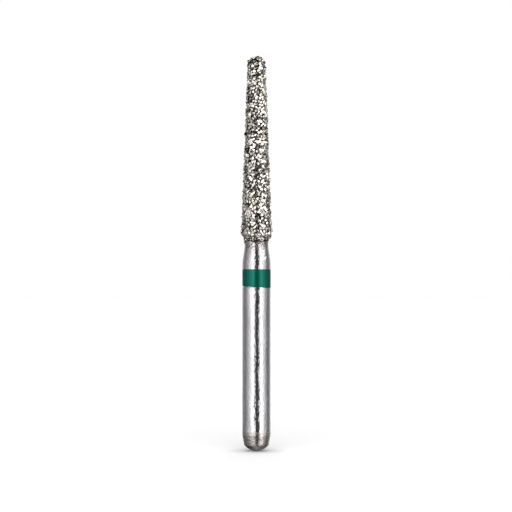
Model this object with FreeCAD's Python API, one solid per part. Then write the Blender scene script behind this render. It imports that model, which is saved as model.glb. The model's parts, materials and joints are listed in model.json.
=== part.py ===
import FreeCAD, Part

import math
import os
import random

# A friction-grip dental bur with a tapered, round-ended head of coarse diamond grit.
# Millimetres. The axis is Z, the origin is the shank's rounded end and the head points up.

# Driving dimensions of the steel blank
OVERALL_LENGTH = 22.5
SHANK_DIAMETER = 1.6
END_CONE_HEIGHT = 0.57
END_CONE_SMALL_DIAMETER = 1.4
END_DOME_HEIGHT = 0.34
END_RIM_RADIUS = 0.12
NECK_DIAMETER = 1.34
NECK_LENGTH = 0.37
NECK_TAPER_LENGTH = 0.85
NECK_BLEND_RADIUS = 2.0
SHOULDER_HEIGHT = 0.2

# Driving dimensions of the lacquered colour band
BAND_BELOW_TAPER = 0.45
BAND_WIDTH = 1.0
BAND_GROOVE_DEPTH = 0.05
BAND_PROUD = 0.01

# Driving dimensions of the head, measured over the diamond grains
HEAD_LENGTH = 10.3
HEAD_BASE_DIAMETER = 1.82
HEAD_TIP_DIAMETER = 1.08

# Driving dimensions of the nickel bond and of the grains that it holds
BOND_THICKNESS = 0.1
GRAIN_PROTRUSION = 0.1
GRAIN_SPACING = 0.15
SMALLEST_GRAIN = 0.35
GRAIN_SCATTER = 0.36
BOND_UNEVENNESS = 0.012
EDGE_MEAN_HEIGHT = 0.06
EDGE_SLANT = 0.05
EDGE_HIGH_SIDE = 1.25 * math.pi
EDGE_FADE = 0.16
EDGE_BUILD_UP = 0.06
EDGE_BUILD_UP_HEIGHT = 0.37
EDGE_BUILD_UP_SPREAD = 0.13
EDGE_SINK = 0.06
TIP_BUILD_UP = 0.03
TIP_BUILD_UP_SPREAD = 0.2
GRIT_SEED = 7

# Places that follow from the driving dimensions
SHANK_RADIUS = SHANK_DIAMETER / 2
NECK_RADIUS = NECK_DIAMETER / 2
END_CONE_TOP = END_DOME_HEIGHT + END_CONE_HEIGHT
HEAD_BASE = OVERALL_LENGTH - HEAD_LENGTH
SHOULDER_BOTTOM = HEAD_BASE - SHOULDER_HEIGHT
NECK_BOTTOM = SHOULDER_BOTTOM - NECK_LENGTH
TAPER_BOTTOM = NECK_BOTTOM - NECK_TAPER_LENGTH
BAND_TOP = TAPER_BOTTOM - BAND_BELOW_TAPER
BAND_BOTTOM = BAND_TOP - BAND_WIDTH
COAT_THICKNESS = BOND_THICKNESS + GRAIN_PROTRUSION
CORE_BASE_RADIUS = HEAD_BASE_DIAMETER / 2 - COAT_THICKNESS
CORE_TIP_RADIUS = HEAD_TIP_DIAMETER / 2 - COAT_THICKNESS
TIP_CENTRE = OVERALL_LENGTH - HEAD_TIP_DIAMETER / 2 - TIP_BUILD_UP
EDGE_HEIGHT = SHOULDER_BOTTOM + EDGE_MEAN_HEIGHT
POINT_SPACING = GRAIN_SPACING / math.sqrt(2)


def at(radius, z):
    """A point of a turned outline, in the plane of X and Z."""
    return FreeCAD.Vector(radius, 0, z)


def line(start, end):
    return Part.LineSegment(start, end).toShape()


def arc(start, middle, end):
    return Part.Arc(start, middle, end).toShape()


def turned(edges):
    """The solid that a closed outline sweeps round the axis."""
    face = Part.Face(Part.Wire(edges))
    return face.revolve(FreeCAD.Vector(0, 0, 0), FreeCAD.Vector(0, 0, 1), 360)


def ring_edges(solid, radius, z):
    """The round edges of a turned solid at one radius and height."""
    close = 1e-6
    return [
        edge
        for edge in solid.Edges
        if not edge.Degenerated
        and isinstance(edge.Curve, Part.Circle)
        and abs(edge.Curve.Radius - radius) < close
        and abs(edge.Curve.Center.z - z) < close
    ]


def dome_side_point(rim_radius, height):
    """A point half-way up the shallow spherical end, between its pole and its rim."""
    sphere_radius = (rim_radius**2 + height**2) / (2 * height)
    half_angle = math.asin(rim_radius / sphere_radius) / 2
    return at(
        sphere_radius * math.sin(half_angle),
        sphere_radius * (1 - math.cos(half_angle)),
    )


def band_ring(outer_radius):
    """A square-edged ring on the groove's floor, as wide as the band."""
    foot = FreeCAD.Vector(0, 0, BAND_BOTTOM)
    outside = Part.makeCylinder(outer_radius, BAND_WIDTH, foot)
    return outside.cut(Part.makeCylinder(SHANK_RADIUS - BAND_GROOVE_DEPTH, BAND_WIDTH, foot))


def colour_band():
    """The lacquer ring that fills the groove and stands a hair proud of the shank."""
    return band_ring(SHANK_RADIUS + BAND_PROUD)


def steel_blank():
    """Shank, neck, shoulder and the tapered core of the head, turned from one bar."""
    rim_radius = END_CONE_SMALL_DIAMETER / 2
    pole = at(0, 0)
    rim = at(rim_radius, END_DOME_HEIGHT)
    corners = [
        rim,
        at(SHANK_RADIUS, END_CONE_TOP),
        at(SHANK_RADIUS, TAPER_BOTTOM),
        at(NECK_RADIUS, NECK_BOTTOM),
        at(NECK_RADIUS, SHOULDER_BOTTOM),
        at(CORE_BASE_RADIUS, HEAD_BASE),
        at(CORE_TIP_RADIUS, TIP_CENTRE),
    ]
    tip = at(0, TIP_CENTRE + CORE_TIP_RADIUS)
    slant = CORE_TIP_RADIUS * math.sqrt(0.5)
    edges = [arc(pole, dome_side_point(rim_radius, END_DOME_HEIGHT), rim)]
    edges += [line(start, end) for start, end in zip(corners, corners[1:])]
    edges.append(arc(corners[-1], at(slant, TIP_CENTRE + slant), tip))
    edges.append(line(tip, pole))
    blank = turned(edges)
    blank = blank.makeFillet(END_RIM_RADIUS, ring_edges(blank, rim_radius, END_DOME_HEIGHT))
    taper_ends = ring_edges(blank, SHANK_RADIUS, TAPER_BOTTOM)
    taper_ends += ring_edges(blank, NECK_RADIUS, NECK_BOTTOM)
    blank = blank.makeFillet(NECK_BLEND_RADIUS, taper_ends)
    return blank.cut(band_ring(SHANK_RADIUS + BAND_PROUD))


def steel_radius(z):
    """Radius of the bare steel under the coat at a height, from the neck to the tip's centre."""
    if z < SHOULDER_BOTTOM:
        return NECK_RADIUS
    if z < HEAD_BASE:
        share = (z - SHOULDER_BOTTOM) / SHOULDER_HEIGHT
        return NECK_RADIUS + share * (CORE_BASE_RADIUS - NECK_RADIUS)
    share = (z - HEAD_BASE) / (TIP_CENTRE - HEAD_BASE)
    return CORE_BASE_RADIUS + share * (CORE_TIP_RADIUS - CORE_BASE_RADIUS)


def edge_height(angle):
    """Height of the plating's lower edge, which runs a little askew round the neck."""
    return EDGE_HEIGHT + EDGE_SLANT * math.cos(angle - EDGE_HIGH_SIDE)


def coat_share(z, angle):
    """How much of the full coat there is: none under the edge and all of it past the fade."""
    share = (z - edge_height(angle)) / EDGE_FADE
    return min(1.0, max(0.0, share))


def build_up(z):
    """Extra height of the grains above the edge and at the tip, where plating builds up."""
    from_edge = (z - EDGE_HEIGHT - EDGE_BUILD_UP_HEIGHT) / EDGE_BUILD_UP_SPREAD
    from_tip = min(0.0, z - TIP_CENTRE) / TIP_BUILD_UP_SPREAD
    at_edge = EDGE_BUILD_UP * math.exp(-from_edge * from_edge)
    return at_edge + TIP_BUILD_UP * math.exp(-from_tip * from_tip)


def stand_off(is_grain, z, draw):
    """Height of a coat point over the steel: a grain's point, or the bond between grains."""
    if is_grain:
        size = SMALLEST_GRAIN + (1 - SMALLEST_GRAIN) * draw.random()
        return BOND_THICKNESS + GRAIN_PROTRUSION * size + build_up(z)
    return BOND_THICKNESS + BOND_UNEVENNESS * draw.uniform(-1, 1)


def points_round(radius):
    """An even number of points, so that grains and gaps take turns round the ring."""
    return 2 * max(3, round(math.pi * radius / POINT_SPACING))


def scattered_angles(count, draw):
    step = 2 * math.pi / count
    return [(i + 0.5 + GRAIN_SCATTER * draw.uniform(-1, 1)) * step for i in range(count)]


def flank_ring(row, z, draw):
    """One ring of coat points round the neck, shoulder or flank: (angle, point) pairs."""
    ring = []
    for i, angle in enumerate(scattered_angles(points_round(steel_radius(z)), draw)):
        height = z + GRAIN_SCATTER * POINT_SPACING * draw.uniform(-1, 1)
        share = coat_share(height, angle)
        full = stand_off((i + row) % 2 == 0, height, draw)
        over = share * full - (1 - share) * EDGE_SINK
        radius = steel_radius(height) + over
        point = FreeCAD.Vector(radius * math.cos(angle), radius * math.sin(angle), height)
        ring.append((angle, point))
    return ring


def tip_ring(row, lean, draw):
    """One ring of coat points on the rounded tip, at an angle up from its equator."""
    ring = []
    count = points_round(CORE_TIP_RADIUS * math.cos(lean))
    for i, angle in enumerate(scattered_angles(count, draw)):
        radius = CORE_TIP_RADIUS + stand_off((i + row) % 2 == 0, TIP_CENTRE, draw)
        across = radius * math.cos(lean)
        point = FreeCAD.Vector(
            across * math.cos(angle),
            across * math.sin(angle),
            TIP_CENTRE + radius * math.sin(lean),
        )
        ring.append((angle, point))
    return ring


def coat_rings():
    """Rings of coat points from under the plating's edge to just short of the tip's pole."""
    draw = random.Random(GRIT_SEED)
    lowest = EDGE_HEIGHT - EDGE_SLANT - 2 * POINT_SPACING
    rows = round((TIP_CENTRE - lowest) / POINT_SPACING)
    rise = (TIP_CENTRE - lowest) / rows
    rings = [flank_ring(row, lowest + row * rise, draw) for row in range(rows)]
    tip_rows = round(CORE_TIP_RADIUS * math.pi / 2 / POINT_SPACING)
    lean_step = math.pi / 2 / tip_rows
    rings += [tip_ring(rows + i, i * lean_step, draw) for i in range(tip_rows)]
    return rings


def stitched(lower, upper):
    """Triangles between two rings of (angle, point number), walked round side by side."""
    turn = 2 * math.pi
    lower = lower + [(lower[0][0] + turn, lower[0][1])]
    upper = upper + [(upper[0][0] + turn, upper[0][1])]
    i = j = 0
    triangles = []
    while i < len(lower) - 1 or j < len(upper) - 1:
        lower_left = i < len(lower) - 1
        upper_left = j < len(upper) - 1
        step_lower = lower_left and (
            not upper_left or lower[i][0] + lower[i + 1][0] < upper[j][0] + upper[j + 1][0]
        )
        if step_lower:
            triangles.append((lower[i][1], lower[i + 1][1], upper[j][1]))
            i += 1
        else:
            triangles.append((lower[i][1], upper[j + 1][1], upper[j][1]))
            j += 1
    return triangles


def fan(ring, centre, outward_up):
    """Triangles that close a ring of (angle, point number) with one middle point."""
    numbers = [number for _, number in ring]
    pairs = list(zip(numbers, numbers[1:] + numbers[:1]))
    if outward_up:
        return [(a, b, centre) for a, b in pairs]
    return [(b, a, centre) for a, b in pairs]


def grit_body():
    """A closed faceted body whose corners are the grains' points and the bond between them."""
    points = []
    rings = []
    for ring in coat_rings():
        numbered = []
        for angle, point in ring:
            numbered.append((angle, len(points)))
            points.append(point)
        rings.append(numbered)
    foot_z = sum(points[number].z for _, number in rings[0]) / len(rings[0])
    foot = len(points)
    points.append(at(0, foot_z))
    pole = len(points)
    points.append(at(0, OVERALL_LENGTH))
    triangles = fan(rings[0], foot, False) + fan(rings[-1], pole, True)
    for lower, upper in zip(rings, rings[1:]):
        triangles += stitched(lower, upper)
    skin = Part.Shape()
    skin.makeShapeFromMesh((points, triangles), 1e-5)
    return Part.Solid(Part.Shell(skin.Faces))


def diamond_coat(blank):
    """The nickel-bonded grit, seated on the steel of the tapered core and its shoulder."""
    return grit_body().cut(blank)


def main():
    os.makedirs("parts", exist_ok=True)
    blank = steel_blank()
    nodes = {
        "steel_blank": blank,
        "colour_band": colour_band(),
        "diamond_coat": diamond_coat(blank),
    }
    for name, shape in nodes.items():
        shape.exportStep(os.path.join("parts", name + ".step"))
        print(name, "solids", len(shape.Solids), "faces", len(shape.Faces), "mm3", shape.Volume)


main()
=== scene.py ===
import json
import math
import random

import bmesh
import bpy
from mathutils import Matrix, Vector

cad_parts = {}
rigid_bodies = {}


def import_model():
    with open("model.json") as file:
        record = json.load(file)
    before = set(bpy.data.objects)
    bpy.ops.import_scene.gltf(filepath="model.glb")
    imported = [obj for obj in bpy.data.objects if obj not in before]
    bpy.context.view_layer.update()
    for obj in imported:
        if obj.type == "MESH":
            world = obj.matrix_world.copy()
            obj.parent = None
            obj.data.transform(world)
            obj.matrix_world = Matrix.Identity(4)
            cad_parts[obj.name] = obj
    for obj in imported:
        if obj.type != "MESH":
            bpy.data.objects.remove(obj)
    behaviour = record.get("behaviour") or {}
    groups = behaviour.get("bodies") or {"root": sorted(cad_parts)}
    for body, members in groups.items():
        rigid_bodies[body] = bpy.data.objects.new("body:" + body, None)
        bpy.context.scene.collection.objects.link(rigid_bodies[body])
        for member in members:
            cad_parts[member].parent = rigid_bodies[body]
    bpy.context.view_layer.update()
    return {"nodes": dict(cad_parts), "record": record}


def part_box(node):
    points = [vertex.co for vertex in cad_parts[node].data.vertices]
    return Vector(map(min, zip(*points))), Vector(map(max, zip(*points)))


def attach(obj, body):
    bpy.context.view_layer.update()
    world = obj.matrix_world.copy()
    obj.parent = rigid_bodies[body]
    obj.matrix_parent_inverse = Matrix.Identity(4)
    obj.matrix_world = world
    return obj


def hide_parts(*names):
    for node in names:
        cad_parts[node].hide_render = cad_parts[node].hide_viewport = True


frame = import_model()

MM = 0.001

# The steel pin and the lacquer, with lengths in millimetres
STEPS_ROUND = 144
WELD_DISTANCE = 0.0002
CORNER_RADIUS = 0.02
SHARP_CORNER = math.radians(6)
BURR_ABOVE = 0.12
BURR_WIDTH = 0.05
BURR_WAVE = 0.16
BURR_BLUR = 0.03
BAND_DEPTH = 0.058
BAND_LIP_RADIUS = 0.035
BAND_EDGE_WAVE = 0.012
BAND_EDGE_SLANT = 0.05

# The nickel that holds the grit, with lengths in millimetres and the rest as shares
BOND_SIZES = {"Thickness": 0.1, "Lump Size": 0.06, "Lump Height": 0.012}
POINTS_LOWERED = 0.7
MEAN_STEPS = 5
TIP_RADIUS = 0.54
TIP_FILL = 0.05
EDGE_FULL = 12.3
EDGE_THIN = 12.17
EDGE_LOSS = 0.45
FRINGE_BOTTOM = 11.9
FRINGE_TOP = 12.15
FRINGE_OUTLINE = [
    (0.66, FRINGE_BOTTOM),
    (0.676, FRINGE_BOTTOM),
    (0.69, FRINGE_BOTTOM + 0.07),
    (0.72, FRINGE_BOTTOM + 0.17),
    (0.74, FRINGE_TOP),
    (0.66, FRINGE_TOP),
]
FRINGE_CORNER_RADIUS = 0.01
FRINGE_EDGE_WAVE = 0.03
FRINGE_EDGE_SLANT = 0.035
# The skin's relief, set low so that the nickel material paints it with shade
FRINGE_RELIEF = -0.02

# The crystals: their measures in millimetres, and the seed of each kind
CRYSTAL_SIZES = {
    "diamond_grains": {
        "Spacing": 0.137,
        "Size": 0.142,
        "Raised By": -0.036,
        "Scatter": 0.045,
        "Thinnest Coat": 0.06,
    },
    "diamond_chips": {
        "Spacing": 0.095,
        "Size": 0.07,
        "Raised By": -0.052,
        "Scatter": 0.01,
        "Thinnest Coat": 0.02,
    },
    "stray_crystals": {
        "Spacing": 0.085,
        "Size": 0.075,
        "Raised By": 0.005,
        "Scatter": 0.015,
        "Thinnest Coat": 0.014,
    },
}
CRYSTAL_SEEDS = {"diamond_grains": 11, "diamond_chips": 16, "stray_crystals": 20}
LARGEST_LEAN = math.radians(15)

# The crystal shapes, as blocks of one unit
CRYSTAL_SHAPES = 7
SHAPE_SEED = 11
CORNER_REACH = (0.42, 0.56)
CORNER_JITTER = 0.07
CLEAVED_CORNERS = 0.45
CLEAVED_TO = (0.1, 0.5)

# The ring of soft boxes: the azimuth in degrees from the camera's side and the brightness
RING_RIGHT = [(0, 0.035), (15, 0.035), (19, 0.2), (24, 0.7), (31, 0.95), (37, 1.15), (41, 1.5)]
RING_RIGHT += [(46, 1.15), (52, 0.9), (58, 0.76), (70, 0.52), (84, 0.32), (100, 0.15)]
RING_RIGHT += [(118, 0.13), (140, 0.35), (180, 0.6)]
RING_LEFT = [(6, 0.035), (11, 0.25), (17, 0.83), (22, 1.0), (28, 1.3), (34, 1.1), (42, 0.98)]
RING_LEFT += [(55, 0.67), (68, 0.45), (84, 0.29), (100, 0.17), (118, 0.14), (140, 0.35)]
RING_STRENGTH = 1.68

# How much of the ring is kept, from straight down at nought to straight up at one
RING_KEPT = [(0.0, 0.42), (0.12, 0.35), (0.2, 0.17), (0.27, 0.25), (0.33, 0.62), (0.42, 1.0)]
RING_KEPT += [(0.5, 1.0), (0.72, 1.0), (0.79, 0.05), (0.9, 0.0)]

# The table, in millimetres and in brightness
TABLE_HALF = 400
# How far the table's painted contact shadow reaches
PAINTED_SHADOW_REACH = 1.4
TABLE_WHITE = 0.86
TABLE_GLOW = 0.17

# The photograph's framing
PICTURE_PIXELS = 512
PIXELS_PER_MM = 17.56
AXIS_COLUMN = 256.52
FOOT_ROW = 450.8
LENS_MM = 135.0
SENSOR_MM = 36.0

# Places in the frame, in metres
SHANK = frame["record"]["mounts"][0]
SHANK_MIDDLE = SHANK["pos_m"][2]
SHANK_HALF = SHANK["dims"]["length_mm"] * MM / 2
SHANK_BOTTOM = SHANK_MIDDLE - SHANK_HALF
SHANK_TOP = SHANK_MIDDLE + SHANK_HALF
GRIT_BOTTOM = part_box("diamond_coat")[0][2]
GRIT_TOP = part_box("diamond_coat")[1][2]


# Colours and nodes


def linear(code):
    """Linear RGBA of an sRGB hex code."""
    channels = [int(code[i : i + 2], 16) / 255 for i in (1, 3, 5)]
    curve = [c / 12.92 if c <= 0.04045 else ((c + 0.055) / 1.055) ** 2.4 for c in channels]
    return (*curve, 1.0)


def level(value):
    """A grey of this linear brightness."""
    return (value, value, value, 1.0)


def per(size_mm):
    """The scale of a texture whose features are about this many millimetres across."""
    return 1 / (size_mm * MM)


def add(tree, kind, inputs=None, **settings):
    """Adds a node; each input takes a value, or another node's output to link from."""
    node = tree.nodes.new(kind)
    for name, value in settings.items():
        setattr(node, name, value)
    for key, value in (inputs or {}).items():
        if isinstance(value, bpy.types.NodeSocket):
            tree.links.new(value, node.inputs[key])
        else:
            node.inputs[key].default_value = value
    return node


def math_node(tree, operation, first, second, third=0.0, clamp=False):
    """The output of one sum, product or other operation on two or three values."""
    node = add(
        tree,
        "ShaderNodeMath",
        {0: first, 1: second, 2: third},
        operation=operation,
        use_clamp=clamp,
    )
    return node.outputs[0]


def vector_node(tree, operation, first, second=None):
    """The output of one operation on vectors."""
    inputs = {0: first}
    if second is not None:
        inputs["Scale" if operation == "SCALE" else 1] = second
    node = add(tree, "ShaderNodeVectorMath", inputs, operation=operation)
    return node.outputs["Value" if operation in ("DOT_PRODUCT", "LENGTH") else "Vector"]


def ramp(tree, factor, stops):
    """A colour ramp with the given (position, RGBA) stops."""
    node = add(tree, "ShaderNodeValToRGB", {"Fac": factor})
    elements = node.color_ramp.elements
    while len(elements) < len(stops):
        elements.new(0.5)
    for element, (position, colour) in zip(elements, stops):
        element.position = position
        element.color = colour
    return node.outputs["Color"]


def fade(tree, value, start, end):
    """Nought at one value, one at the other and a smooth step between."""
    node = add(
        tree,
        "ShaderNodeMapRange",
        {"Value": value, "From Min": start, "From Max": end},
        interpolation_type="SMOOTHSTEP",
    )
    return node.outputs[0]


def blend(tree, share, first, second):
    """The first colour where the share is nought and the second where it is one."""
    node = add(tree, "ShaderNodeMix", {0: share, 6: first, 7: second}, data_type="RGBA")
    return node.outputs[2]


def new_material(name):
    """An empty node material and its output node."""
    material = bpy.data.materials.new(name)
    material.use_nodes = True
    material.node_tree.nodes.clear()
    output = add(material.node_tree, "ShaderNodeOutputMaterial")
    return material, material.node_tree, output


def noise_at(tree, place, size_mm, stretch=(1, 1, 1), detail=2.0):
    """Noise with features of this size, drawn out along an axis where its stretch is above one."""
    shrink = [1 / s for s in stretch]
    mapping = add(tree, "ShaderNodeMapping", {"Vector": place, "Scale": shrink})
    node = add(
        tree,
        "ShaderNodeTexNoise",
        {"Vector": mapping.outputs[0], "Scale": per(size_mm), "Detail": detail},
    )
    return node.outputs["Fac"]


def bump(tree, height, distance_mm, under=None):
    """A bump whose full height is this many millimetres, over another one if there is one."""
    inputs = {"Height": height, "Strength": 1.0, "Distance": distance_mm * MM}
    if under:
        inputs["Normal"] = under
    return add(tree, "ShaderNodeBump", inputs).outputs[0]


# Materials


def stainless_steel_ground():
    """Stainless steel, ground along the shank and duller at its ends.

    The shank's grinding marks run round it, so its reflections stay sharp round it and smear
    along it. The cone and the dome are turned and pitted, with a faint uneven burr where the
    cone starts. The neck is calmer and carries splashes from the plating bath. The real marks
    are a few thousandths of a millimetre wide, too fine to show, and are drawn coarser.
    """
    material, tree, output = new_material("stainless_steel_ground")
    place = add(tree, "ShaderNodeTexCoord").outputs["Object"]
    along = add(tree, "ShaderNodeSeparateXYZ", {0: place}).outputs["Z"]
    rough_edge = noise_at(tree, place, 0.25)
    uneven = math_node(tree, "MULTIPLY_ADD", rough_edge, -BURR_WAVE * MM, along)
    burr_top = SHANK_BOTTOM + BURR_ABOVE * MM
    burr_foot = burr_top - BURR_WIDTH * MM
    below_burr = fade(tree, uneven, burr_top + BURR_BLUR * MM, burr_top)
    at_end = fade(tree, uneven, burr_foot + BURR_BLUR * MM, burr_foot)
    burr = math_node(tree, "SUBTRACT", below_burr, at_end)
    at_neck = fade(tree, along, SHANK_TOP + 0.3 * MM, GRIT_BOTTOM - 0.1 * MM)
    dull = math_node(tree, "MAXIMUM", at_end, at_neck)

    marks = noise_at(tree, place, 0.09, stretch=(9, 9, 1), detail=3.0)
    waves = noise_at(tree, place, 1.1, detail=0.0)
    chatter = noise_at(tree, place, 0.3, stretch=(1.5, 1.5, 1))
    scuffs = noise_at(tree, place, 0.13, detail=1.0)
    pits = math_node(tree, "MULTIPLY_ADD", at_neck, 0.14, noise_at(tree, place, 0.1))
    pitted = math_node(tree, "MULTIPLY", fade(tree, pits, 0.58, 0.7), dull)
    calm = math_node(tree, "MULTIPLY_ADD", at_neck, -0.6, 1.0)
    scuffs = math_node(tree, "MULTIPLY", scuffs, calm)
    chatter = math_node(tree, "MULTIPLY", chatter, calm)
    relief = bump(tree, marks, 0.0015)
    relief = bump(tree, waves, 0.04, relief)
    relief = bump(tree, chatter, 0.012, relief)
    relief = bump(tree, scuffs, 0.016, relief)
    relief = bump(tree, pitted, -0.004, relief)

    ends = blend(tree, at_neck, linear("#C1BBB8"), linear("#D1CBCB"))
    bare = blend(tree, dull, linear("#CCCACD"), ends)
    grime = blend(tree, at_neck, linear("#87817C"), linear("#5C5650"))
    colour = blend(tree, pitted, bare, grime)
    polish = add(
        tree,
        "ShaderNodeMapRange",
        {"Value": marks, "From Min": 0.3, "From Max": 0.7, "To Min": 0.1, "To Max": 0.18},
    )
    roughness = math_node(tree, "MULTIPLY_ADD", dull, 0.06, polish.outputs[0])
    roughness = math_node(tree, "MULTIPLY_ADD", at_end, 0.06, roughness)
    roughness = math_node(tree, "MULTIPLY_ADD", burr, 0.25, roughness)
    tangent = add(tree, "ShaderNodeTangent", direction_type="RADIAL", axis="Z")
    steel = add(
        tree,
        "ShaderNodeBsdfPrincipled",
        {
            "Base Color": colour,
            "Metallic": 1.0,
            "Roughness": roughness,
            "Anisotropic": 0.5,
            "Anisotropic Rotation": 0.25,
            "Normal": relief,
            "Tangent": tangent.outputs[0],
        },
    )
    tree.links.new(steel.outputs[0], output.inputs["Surface"])
    return material


def green_lacquer():
    """Baked green lacquer over steel: clear on top, with the metal glowing through it."""
    material, tree, output = new_material("green_lacquer")
    place = add(tree, "ShaderNodeTexCoord").outputs["Object"]
    sag = noise_at(tree, place, 0.4, stretch=(1, 1, 2))
    lacquer = add(
        tree,
        "ShaderNodeBsdfPrincipled",
        {
            "Base Color": linear("#005A4C"),
            "Metallic": 0.66,
            "Roughness": 0.12,
            "Specular IOR Level": 0.1,
            "Specular Tint": linear("#109A88"),
            "Coat Weight": 0.28,
            "Coat Roughness": 0.04,
            "Normal": bump(tree, sag, 0.006),
        },
    )
    tree.links.new(lacquer.outputs[0], output.inputs["Surface"])
    return material


def electroplated_nickel():
    """Electroplated nickel that holds the grains: satin, with painted shade where it lies deep."""
    material, tree, output = new_material("electroplated_nickel")
    place = add(tree, "ShaderNodeTexCoord").outputs["Object"]
    relief = add(tree, "ShaderNodeAttribute", attribute_name="relief").outputs["Fac"]
    # Painted shade: the nickel is coloured dark where it lies deep between the grains, and its own
    # satin grey where it stands up.
    bond_above_painted_shade = fade(tree, relief, -0.03 * MM, 0.03 * MM)
    colour = blend(tree, bond_above_painted_shade, linear("#28221E"), linear("#ADA39A"))
    nodules = noise_at(tree, place, 0.04)
    nickel = add(
        tree,
        "ShaderNodeBsdfPrincipled",
        {
            "Base Color": colour,
            "Metallic": 1.0,
            "Roughness": 0.3,
            "Normal": bump(tree, nodules, 0.012),
        },
    )
    tree.links.new(nickel.outputs[0], output.inputs["Surface"])
    return material


def diamond_crystal():
    """Blocky synthetic diamond: hard facets that flash or go dark as they turn.

    Diamond throws back most of what enters it, and a metallic facet stands in for that. Each
    crystal has its own tint, from grey to clear, faintly yellow or pink, and its colour is painted
    darker where it lies deep in the nickel, as painted shade.
    """
    material, tree, output = new_material("diamond_crystal")
    tint = add(tree, "ShaderNodeAttribute", attribute_name="tint").outputs["Fac"]
    relief = add(tree, "ShaderNodeAttribute", attribute_name="relief").outputs["Fac"]
    bare = ramp(
        tree,
        tint,
        [
            (0.0, linear("#C7C0B6")),
            (0.3, linear("#EBE7DE")),
            (0.7, linear("#FCF9F3")),
            (0.9, linear("#F3EEE1")),
            (1.0, linear("#F1E7E3")),
        ],
    )
    # Painted shade: a crystal's colour goes dark where it lies deep in the nickel.
    crystal_above_painted_shade = fade(tree, relief, -0.035 * MM, 0.025 * MM)
    colour = blend(tree, crystal_above_painted_shade, linear("#241E1B"), bare)
    crystal = add(
        tree,
        "ShaderNodeBsdfPrincipled",
        {"Base Color": colour, "Metallic": 1.0, "Roughness": 0.09},
    )
    tree.links.new(crystal.outputs[0], output.inputs["Surface"])
    return material


# Meshes


def new_object(name, points, faces, material=None):
    """An object at the origin with this mesh, in metres."""
    mesh = bpy.data.meshes.new(name)
    mesh.from_pydata(points, [], faces)
    mesh.update()
    if material:
        mesh.materials.append(material)
    thing = bpy.data.objects.new(name, mesh)
    bpy.context.scene.collection.objects.link(thing)
    return thing


def welded(node):
    """A node's mesh for editing, with its loose triangles joined."""
    work = bmesh.new()
    work.from_mesh(node.data)
    bmesh.ops.remove_doubles(work, verts=work.verts, dist=WELD_DISTANCE * MM)
    return work


def merged_copy(node, name):
    """A copy of an object's mesh with its loose triangles joined."""
    mesh = bpy.data.meshes.new(name)
    work = welded(node)
    work.to_mesh(mesh)
    work.free()
    copy = bpy.data.objects.new(name, mesh)
    bpy.context.scene.collection.objects.link(copy)
    return copy


def turned_outline(node):
    """The (radius, height) points of a packed turned node, from its lower pole to its upper.

    The node's surfaces all close on one seam in the half-plane y = 0, x > 0, so its joined mesh
    has a chain of edges there from pole to pole.
    """
    work = welded(node)
    close = 2.5 * WELD_DISTANCE * MM
    seam = {vert for vert in work.verts if abs(vert.co.y) < close and vert.co.x > -close}
    here = min(seam, key=lambda vert: vert.co.z)
    outline = []
    while here:
        outline.append((max(here.co.x, 0.0), here.co.z))
        seam.discard(here)
        onward = [edge.other_vert(here) for edge in here.link_edges]
        here = next((vert for vert in onward if vert in seam), None)
    work.free()
    return outline


def eased(outline, radius, closed=False):
    """The outline with its sharp corners rounded, and a point beside each to hold the shading."""
    count = len(outline)
    points = []
    for i, place in enumerate(outline):
        corner = Vector(place)
        if not closed and i in (0, count - 1):
            points.append(corner)
            continue
        back = Vector(outline[i - 1]) - corner
        on = Vector(outline[(i + 1) % count]) - corner
        turn = (-back).angle(on)
        if turn < SHARP_CORNER:
            points.append(corner)
            continue
        reach = min(radius * math.tan(turn / 2), 0.3 * back.length, 0.3 * on.length)
        first = corner + back.normalized() * reach
        last = corner + on.normalized() * reach
        hold = min(radius, 0.2 * back.length, 0.2 * on.length)
        points.append(first + back.normalized() * hold)
        for t in (0.0, 0.25, 0.5, 0.75, 1.0):
            points.append(first.lerp(corner, t).lerp(corner.lerp(last, t), t))
        points.append(last + on.normalized() * hold)
    return points


def turned(name, outline, material, closed=False, lift=None):
    """A piece turned from an outline; lift moves a point up by its place and angle."""
    points = []
    rings = []
    for radius, z in outline:
        ring = []
        for step in range(STEPS_ROUND if radius > 0 else 1):
            angle = math.tau * step / STEPS_ROUND
            rise = lift(z, angle) if lift else 0.0
            ring.append(len(points))
            points.append((radius * math.cos(angle), radius * math.sin(angle), z + rise))
        rings.append(ring)
    faces = []
    pairs = list(zip(rings, rings[1:] + rings[:1]))
    for low, high in pairs if closed else pairs[:-1]:
        for step in range(STEPS_ROUND):
            following = (step + 1) % STEPS_ROUND
            corners = [low[step % len(low)], low[following % len(low)]]
            corners += [high[following % len(high)], high[step % len(high)]]
            faces.append(tuple(dict.fromkeys(corners)))
    piece = new_object(name, points, faces, material)
    piece.data.shade_smooth()
    return piece


def ground_pin():
    """The steel pin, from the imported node's own outline."""
    outline = turned_outline(frame["nodes"]["steel_blank"])
    pin = turned(
        "ground_pin",
        eased(outline, CORNER_RADIUS * MM),
        stainless_steel_ground(),
    )
    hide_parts("steel_blank")
    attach(pin, "root")


def band_edge(z, angle):
    """How far the lacquer's edge creeps up or down at this angle round the shank."""
    low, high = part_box("colour_band")
    share = (high[2] - z) / (high[2] - low[2])
    slant = -BAND_EDGE_SLANT * math.cos(angle)
    wave = 0.6 * math.sin(3 * angle + 1.0) + 0.4 * math.sin(7 * angle + 4.0)
    return (slant + BAND_EDGE_WAVE * wave) * MM * share**4


def lacquer_band():
    """The baked ring of lacquer that fills the groove and rolls over at its edges."""
    low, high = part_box("colour_band")
    outer = high[0]
    inner = outer - BAND_DEPTH * MM
    outline = [(inner, low[2]), (outer, low[2]), (outer, high[2]), (inner, high[2])]
    band = turned(
        "lacquer_band",
        eased(outline, BAND_LIP_RADIUS * MM, closed=True),
        green_lacquer(),
        closed=True,
        lift=band_edge,
    )
    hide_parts("colour_band")
    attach(band, "root")


# The grit


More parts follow.
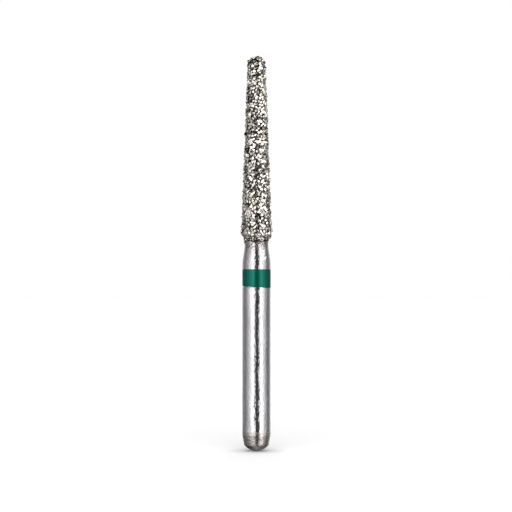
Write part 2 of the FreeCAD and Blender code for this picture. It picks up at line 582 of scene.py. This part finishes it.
def crystal_mesh(rng):
    """A block of one unit with uneven corners, some of them cleaved off."""
    work = bmesh.new()
    for x in (-1, 1):
        for y in (-1, 1):
            for z in (-1, 1):
                corner = Vector((x, y, z)) * rng.uniform(*CORNER_REACH)
                jitter = [rng.uniform(-CORNER_JITTER, CORNER_JITTER) for _ in range(3)]
                corner += Vector(jitter)
                if rng.random() < CLEAVED_CORNERS:
                    for axis in range(3):
                        cut = corner.copy()
                        cut[axis] *= rng.uniform(*CLEAVED_TO)
                        work.verts.new(cut)
                else:
                    work.verts.new(corner)
    hull = bmesh.ops.convex_hull(work, input=work.verts)
    inside = [item for item in hull["geom_interior"] if isinstance(item, bmesh.types.BMVert)]
    bmesh.ops.delete(work, geom=inside, context="VERTS")
    bmesh.ops.recalc_face_normals(work, faces=work.faces)
    mesh = bpy.data.meshes.new("crystal")
    work.to_mesh(mesh)
    work.free()
    return mesh


def crystal_collection():
    """The shapes that every kind of crystal is picked from."""
    rng = random.Random(SHAPE_SEED)
    shapes = bpy.data.collections.new("crystals")
    for _ in range(CRYSTAL_SHAPES):
        shapes.objects.link(bpy.data.objects.new("crystal", crystal_mesh(rng)))
    return shapes


def new_node_group(name, inputs):
    """A geometry node group with these named inputs, and its input and output nodes."""
    group = bpy.data.node_groups.new(name, "GeometryNodeTree")
    group.interface.new_socket("Mesh", in_out="INPUT", socket_type="NodeSocketGeometry")
    for label, kind in inputs.items():
        group.interface.new_socket(label, in_out="INPUT", socket_type=f"NodeSocket{kind}")
    group.interface.new_socket("Mesh", in_out="OUTPUT", socket_type="NodeSocketGeometry")
    given = add(group, "NodeGroupInput").outputs
    return group, given, add(group, "NodeGroupOutput")


def away_from_steel(group, steel):
    """How high a point stands above the steel pin, and the direction straight away from it."""
    pin = add(group, "GeometryNodeObjectInfo", {"Object": steel})
    near = add(group, "GeometryNodeProximity", {0: pin.outputs["Geometry"]})
    place = add(group, "GeometryNodeInputPosition")
    gap = vector_node(group, "SUBTRACT", place.outputs[0], near.outputs["Position"])
    return near.outputs["Distance"], vector_node(group, "NORMALIZE", gap)


def named(group, name):
    """The value that was kept under a name."""
    return add(group, "GeometryNodeInputNamedAttribute", {"Name": name}).outputs[0]


def stored(group, geometry, name, value, domain="POINT"):
    """The geometry with a value kept under a name."""
    node = add(
        group,
        "GeometryNodeStoreNamedAttribute",
        {"Geometry": geometry, "Name": name, "Value": value},
        domain=domain,
    )
    return node.outputs[0]


def random_value(group, low, high, seed, kind="FLOAT"):
    """A random float, integer or vector between two values."""
    start, result = {"FLOAT_VECTOR": (0, 0), "FLOAT": (2, 1), "INT": (4, 2)}[kind]
    node = add(
        group,
        "FunctionNodeRandomValue",
        {start: low, start + 1: high, "Seed": seed},
        data_type=kind,
    )
    return node.outputs[result]


def mean_height(group, height):
    """The height of the coat about a point of its mesh, grains and bond taken together."""
    inputs = {"Value": height, "Iterations": MEAN_STEPS}
    return add(group, "GeometryNodeBlurAttribute", inputs).outputs[0]


def reshaping(group, mean):
    """How much the coat is filled out at the tip's shoulder and thinned at its lower edge.

    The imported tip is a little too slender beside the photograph, and the edge a little thick.
    """
    place = add(group, "GeometryNodeInputPosition").outputs[0]
    z = add(group, "ShaderNodeSeparateXYZ", {0: place}).outputs["Z"]
    radius = vector_node(group, "LENGTH", vector_node(group, "MULTIPLY", place, (1, 1, 0)))
    high = fade(group, z, GRIT_TOP - TIP_RADIUS * MM, GRIT_TOP)
    shoulder = math_node(group, "MULTIPLY", high, fade(group, radius, 0.0, TIP_RADIUS * MM))
    low = fade(group, z, EDGE_FULL * MM, EDGE_THIN * MM)
    thinned = math_node(group, "MULTIPLY", math_node(group, "MULTIPLY", low, mean), -EDGE_LOSS)
    return math_node(group, "MULTIPLY_ADD", shoulder, TIP_FILL * MM, thinned)


def crystals_on(group, points, given):
    """Crystals of random shape, size and tint on the points, each with a face turned outward.

    A crystal spins freely about the direction away from the steel and leans a little off it.
    """
    shapes = add(
        group,
        "GeometryNodeCollectionInfo",
        {"Collection": given["Crystals"], "Separate Children": True, "Reset Children": True},
    )
    seed = given["Seed"]
    share = random_value(group, 0.75, 1.15, seed)
    height, outward = away_from_steel(group, given["Steel"])
    upright = add(group, "FunctionNodeAlignRotationToVector", {"Vector": outward}, axis="Z")
    least = (-LARGEST_LEAN, -LARGEST_LEAN, 0)
    most = (LARGEST_LEAN, LARGEST_LEAN, math.tau)
    spin = random_value(group, least, most, seed, "FLOAT_VECTOR")
    turned_by = add(
        group,
        "FunctionNodeRotateRotation",
        {
            "Rotation": upright.outputs[0],
            "Rotate By": add(group, "FunctionNodeEulerToRotation", {0: spin}).outputs[0],
        },
        rotation_space="LOCAL",
    )
    placed = add(
        group,
        "GeometryNodeInstanceOnPoints",
        {
            "Points": points,
            "Instance": shapes.outputs[0],
            "Pick Instance": True,
            "Instance Index": random_value(group, 0, CRYSTAL_SHAPES - 1, seed, "INT"),
            "Rotation": turned_by.outputs[0],
            "Scale": math_node(group, "MULTIPLY", share, given["Size"]),
        },
    )
    tint = random_value(group, 0.0, 1.0, math_node(group, "ADD", seed, 1))
    tinted = stored(group, placed.outputs[0], "tint", tint, domain="INSTANCE")
    mesh = add(group, "GeometryNodeRealizeInstances", {"Geometry": tinted})
    # The relief is kept for the material, which paints shade where it is low.
    relief = math_node(group, "SUBTRACT", height, named(group, "coat"))
    return stored(group, mesh.outputs[0], "relief", relief)


def finished(group, mesh, given, smooth, output):
    """Sets the shading and the material at the end of a node group."""
    shaded = add(
        group,
        "GeometryNodeSetShadeSmooth",
        {"Geometry": mesh, "Shade Smooth": smooth},
    )
    clad = add(
        group,
        "GeometryNodeSetMaterial",
        {"Geometry": shaded.outputs[0], "Material": given["Material"]},
    )
    group.links.new(clad.outputs[0], output.inputs[0])


def bond_group():
    """Lowers the coat's grain points towards the bond and lays nickel nodules over it."""
    group, given, output = new_node_group(
        "nickel_bond",
        {"Steel": "Object", **dict.fromkeys(BOND_SIZES, "Float"), "Material": "Material"},
    )
    height, outward = away_from_steel(group, given["Steel"])
    mean = mean_height(group, height)
    change = reshaping(group, mean)
    coat = stored(group, given["Mesh"], "change", change)
    coat = stored(group, coat, "coat", math_node(group, "ADD", mean, change))
    fine = add(group, "GeometryNodeSubdivideMesh", {"Mesh": coat, "Level": 2})
    over = math_node(group, "SUBTRACT", height, given["Thickness"])
    excess = math_node(group, "MAXIMUM", over, 0.0)
    lumps = add(
        group,
        "ShaderNodeTexNoise",
        {"Scale": math_node(group, "DIVIDE", 1.0, given["Lump Size"]), "Detail": 1.0},
    )
    swell = math_node(group, "SUBTRACT", lumps.outputs[0], 0.5)
    swell = math_node(group, "MULTIPLY", swell, given["Lump Height"])
    covered = math_node(group, "DIVIDE", height, given["Thickness"], clamp=True)
    swell = math_node(group, "MULTIPLY", swell, covered)
    sunk = math_node(group, "MULTIPLY", excess, POINTS_LOWERED)
    shift = math_node(group, "SUBTRACT", swell, sunk)
    shift = math_node(group, "ADD", shift, named(group, "change"))
    moved = add(
        group,
        "GeometryNodeSetPosition",
        {"Geometry": fine.outputs[0], "Offset": vector_node(group, "SCALE", outward, shift)},
    )
    # The relief is kept for the material, which paints shade where it is low.
    relief = math_node(group, "SUBTRACT", height, named(group, "coat"))
    measured = stored(group, moved.outputs[0], "relief", relief)
    finished(group, measured, given, True, output)
    return group


def crystal_group():
    """Scatters crystals over the coat, each sunk into the bond about the coat's mean height.

    Raised By lifts them from that height on average, and Scatter is how far they differ. None
    grows where the coat is thinner than Thinnest Coat.
    """
    group, given, output = new_node_group(
        "scattered_crystals",
        {
            "Steel": "Object",
            **dict.fromkeys(CRYSTAL_SIZES["diamond_grains"], "Float"),
            "Crystals": "Collection",
            "Seed": "Int",
            "Material": "Material",
        },
    )
    height, outward = away_from_steel(group, given["Steel"])
    mean = mean_height(group, height)
    reshaped = math_node(group, "ADD", mean, reshaping(group, mean))
    coat = stored(group, given["Mesh"], "coat", reshaped)
    crowd = math_node(group, "POWER", given["Spacing"], -2.0)
    points = add(
        group,
        "GeometryNodeDistributePointsOnFaces",
        {
            "Mesh": coat,
            "Selection": math_node(group, "GREATER_THAN", height, given["Thinnest Coat"]),
            "Distance Min": given["Spacing"],
            "Density Max": math_node(group, "MULTIPLY", crowd, 3.0),
            "Seed": given["Seed"],
        },
        distribute_method="POISSON",
    )
    differ = random_value(group, -1.0, 1.0, math_node(group, "ADD", given["Seed"], 2))
    seat = math_node(group, "MULTIPLY_ADD", differ, given["Scatter"], given["Raised By"])
    level_off = math_node(group, "ADD", named(group, "coat"), seat)
    shift = math_node(group, "SUBTRACT", level_off, height)
    seated = add(
        group,
        "GeometryNodeSetPosition",
        {"Geometry": points.outputs[0], "Offset": vector_node(group, "SCALE", outward, shift)},
    )
    mesh = crystals_on(group, seated.outputs[0], given)
    finished(group, mesh, given, False, output)
    return group


def grown(name, base, group, values):
    """A piece of grit made by running a node group with these inputs on a copy of a mesh."""
    piece = merged_copy(base, name)
    modifier = piece.modifiers.new(name, "NODES")
    modifier.node_group = group
    for item in group.interface.items_tree:
        if item.name in values:
            modifier[item.identifier] = values[item.name]
    evaluated = piece.evaluated_get(bpy.context.evaluated_depsgraph_get())
    mesh = bpy.data.meshes.new_from_object(evaluated)
    piece.modifiers.clear()
    piece.data = mesh
    return piece


def fringe_edge(z, angle):
    """How far the nickel skin's lower edge creeps down the neck at this angle."""
    share = (FRINGE_TOP - z / MM) / (FRINGE_TOP - FRINGE_BOTTOM)
    wave = math.sin(3 * angle + 2.0) + 0.7 * math.sin(8 * angle + 0.5)
    wave += 0.5 * math.sin(19 * angle + 1.0)
    return (FRINGE_EDGE_SLANT * math.cos(angle) + FRINGE_EDGE_WAVE * wave) * MM * share


def plating_fringe(nickel):
    """The thin skin of nickel that runs out on the neck under the grit."""
    outline = [(radius * MM, z * MM) for radius, z in FRINGE_OUTLINE]
    skin = turned(
        "plating_fringe",
        eased(outline, FRINGE_CORNER_RADIUS * MM, closed=True),
        nickel,
        closed=True,
        lift=fringe_edge,
    )
    # The skin's low relief makes the nickel material paint it with shade.
    relief = skin.data.attributes.new("relief", "FLOAT", "POINT")
    relief.data.foreach_set("value", [FRINGE_RELIEF * MM] * len(skin.data.vertices))
    return skin


def in_metres(sizes):
    """The same sizes, from millimetres to metres."""
    return {name: size * MM for name, size in sizes.items()}


def diamond_grit():
    """The nickel that holds the grit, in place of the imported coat, and the crystals in it.

    The grains and the chips between them stand on the coat, and stray crystals on the thin
    skin of nickel that runs out under it.
    """
    steel = frame["nodes"]["steel_blank"]
    coat = frame["nodes"]["diamond_coat"]
    crystals = crystal_collection()
    nickel = electroplated_nickel()
    bond = grown(
        "nickel_bond",
        coat,
        bond_group(),
        {"Steel": steel, **in_metres(BOND_SIZES), "Material": nickel},
    )
    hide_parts("diamond_coat")
    fringe = plating_fringe(nickel)
    pieces = [bond, fringe]
    scattered = crystal_group()
    shared = {"Steel": steel, "Crystals": crystals, "Material": diamond_crystal()}
    for name, sizes in CRYSTAL_SIZES.items():
        base = fringe if name == "stray_crystals" else coat
        values = {**shared, **in_metres(sizes), "Seed": CRYSTAL_SEEDS[name]}
        pieces.append(grown(name, base, scattered, values))
    for piece in pieces:
        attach(piece, "root")
    for shape in list(crystals.objects):
        bpy.data.objects.remove(shape)
    bpy.data.collections.remove(crystals)


# Stage, light and camera


def background(tree, colour, strength):
    """A background shader of this colour."""
    inputs = {"Color": colour, "Strength": strength}
    return add(tree, "ShaderNodeBackground", inputs).outputs[0]


def direction(azimuth, elevation):
    """The direction at this azimuth from the camera's side, right of it, and elevation."""
    across = math.cos(math.radians(elevation))
    turn = math.radians(azimuth)
    return (across * math.sin(turn), -across * math.cos(turn), math.sin(math.radians(elevation)))


def around(tree, way, azimuth, elevation, full, gone):
    """One within so many degrees of a direction, falling to nought at so many."""
    towards = vector_node(tree, "DOT_PRODUCT", way, direction(azimuth, elevation))
    return fade(tree, towards, math.cos(math.radians(gone)), math.cos(math.radians(full)))


def mirrored_light(tree, way):
    """What the metal mirrors in each direction: a ring of soft boxes and a few single ones.

    The camera's own gap is dark, a broad soft box stands on each side of it, the flanks fall
    off to dark, and the backdrop closes the ring behind. The ring fades out above the bur and
    below it. One soft box hangs overhead, a panel and a low card stand on the right, and the
    low corner at the back on the left is shaded, which darkens the rim of the domed end.
    """
    parts = add(tree, "ShaderNodeSeparateXYZ", {0: way}).outputs
    front = math_node(tree, "MULTIPLY", parts["Y"], -1.0)
    turn = math_node(tree, "ARCTAN2", parts["X"], front)
    share = math_node(tree, "ADD", math_node(tree, "DIVIDE", turn, math.tau), 0.5)
    stops = [(-angle, value) for angle, value in RING_LEFT] + RING_RIGHT
    stops.append((-180, RING_RIGHT[-1][1]))
    stops = [(0.5 + angle / 360, level(value)) for angle, value in sorted(stops)]
    ring = ramp(tree, share, stops)
    rise = math_node(tree, "ADD", math_node(tree, "MULTIPLY", parts["Z"], 0.5), 0.5)
    kept = ramp(tree, rise, [(place, level(value)) for place, value in RING_KEPT])
    shade = around(tree, way, -160, -26, full=16, gone=36)
    kept = math_node(tree, "MULTIPLY", kept, math_node(tree, "MULTIPLY_ADD", shade, -0.8, 1.0))
    ring = math_node(tree, "MULTIPLY", ring, kept)
    panel = around(tree, way, 75, 42, full=20, gone=34)
    card = around(tree, way, 40, -20, full=8, gone=18)
    overhead = ramp(tree, rise, [(0.93, level(0.0)), (0.97, level(1.0))])
    boxes = math_node(tree, "MULTIPLY_ADD", card, 0.5, panel)
    boxes = math_node(tree, "MULTIPLY_ADD", overhead, 0.8, boxes)
    return math_node(tree, "ADD", ring, boxes)


def room_light(tree, way):
    """What lights the matt table: the front of the room most, then the back, and white in all.

    Light from there spreads the bur's shadow behind it and before it.
    """
    depth = add(tree, "ShaderNodeSeparateXYZ", {0: way}).outputs["Y"]
    ends = math_node(tree, "POWER", math_node(tree, "ABSOLUTE", depth, 0.0), 4.0)
    lean = math_node(tree, "MULTIPLY_ADD", depth, -2.8, 5.6)
    return math_node(tree, "MULTIPLY_ADD", ends, lean, 0.3)


def studio_world():
    """The studio's light for metal and for the matt table, and a plain white backdrop."""
    world = bpy.data.worlds.new("studio")
    bpy.context.scene.world = world
    world.use_nodes = True
    world.cycles.sampling_method = "NONE"
    tree = world.node_tree
    tree.nodes.clear()
    way = add(tree, "ShaderNodeTexCoord").outputs["Generated"]
    path = add(tree, "ShaderNodeLightPath").outputs
    shader = background(tree, mirrored_light(tree, way), RING_STRENGTH)
    for seen, instead in (
        (path["Is Diffuse Ray"], background(tree, room_light(tree, way), 1.0)),
        (path["Is Camera Ray"], background(tree, level(1.0), 1.0)),
    ):
        shader = add(tree, "ShaderNodeMixShader", {0: seen, 1: shader, 2: instead}).outputs[0]
    output = add(tree, "ShaderNodeOutputWorld")
    tree.links.new(shader, output.inputs["Surface"])


def white_table():
    """A matt white table that shows the bur's soft shadow and isn't mirrored in the steel.

    Its colour is darkened under the bur as a painted contact shadow, and it glows a little so
    that it meets the backdrop as white.
    """
    half = TABLE_HALF * MM
    corners = [(-half, -half, 0), (half, -half, 0), (half, half, 0), (-half, half, 0)]
    material, tree, output = new_material("white_table")
    table = new_object("table", corners, [(0, 1, 2, 3)], material)
    table.visible_glossy = False
    table.visible_shadow = False
    # Painted contact shadow: ambient occlusion darkens the table's colour close under the bur.
    painted_contact_shadow = add(
        tree,
        "ShaderNodeAmbientOcclusion",
        {"Color": level(TABLE_WHITE), "Distance": PAINTED_SHADOW_REACH * MM},
        samples=16,
    )
    paper = add(tree, "ShaderNodeBsdfDiffuse", {"Color": painted_contact_shadow.outputs["Color"]})
    glow = add(tree, "ShaderNodeEmission", {"Color": level(1.0), "Strength": TABLE_GLOW})
    both = add(tree, "ShaderNodeAddShader", {0: paper.outputs[0], 1: glow.outputs[0]})
    tree.links.new(both.outputs[0], output.inputs["Surface"])


def camera():
    """A level long-lens camera that frames the bur as the photograph does."""
    data = bpy.data.cameras.new("camera")
    data.lens = LENS_MM
    data.sensor_width = SENSOR_MM
    data.clip_start = 1 * MM
    data.clip_end = 2.0
    half = PICTURE_PIXELS / 2
    away = PICTURE_PIXELS / PIXELS_PER_MM / SENSOR_MM * LENS_MM
    across = (half - AXIS_COLUMN) / PIXELS_PER_MM
    height = (FOOT_ROW - half) / PIXELS_PER_MM
    eye = bpy.data.objects.new("camera", data)
    eye.location = (across * MM, -away * MM, height * MM)
    eye.rotation_euler = (math.radians(90), 0, 0)
    bpy.context.scene.collection.objects.link(eye)
    bpy.context.scene.camera = eye


def main():
    """Builds the bur and its stage."""
    bpy.context.scene.view_settings.view_transform = "Standard"
    ground_pin()
    lacquer_band()
    diamond_grit()
    studio_world()
    white_table()
    camera()


main()
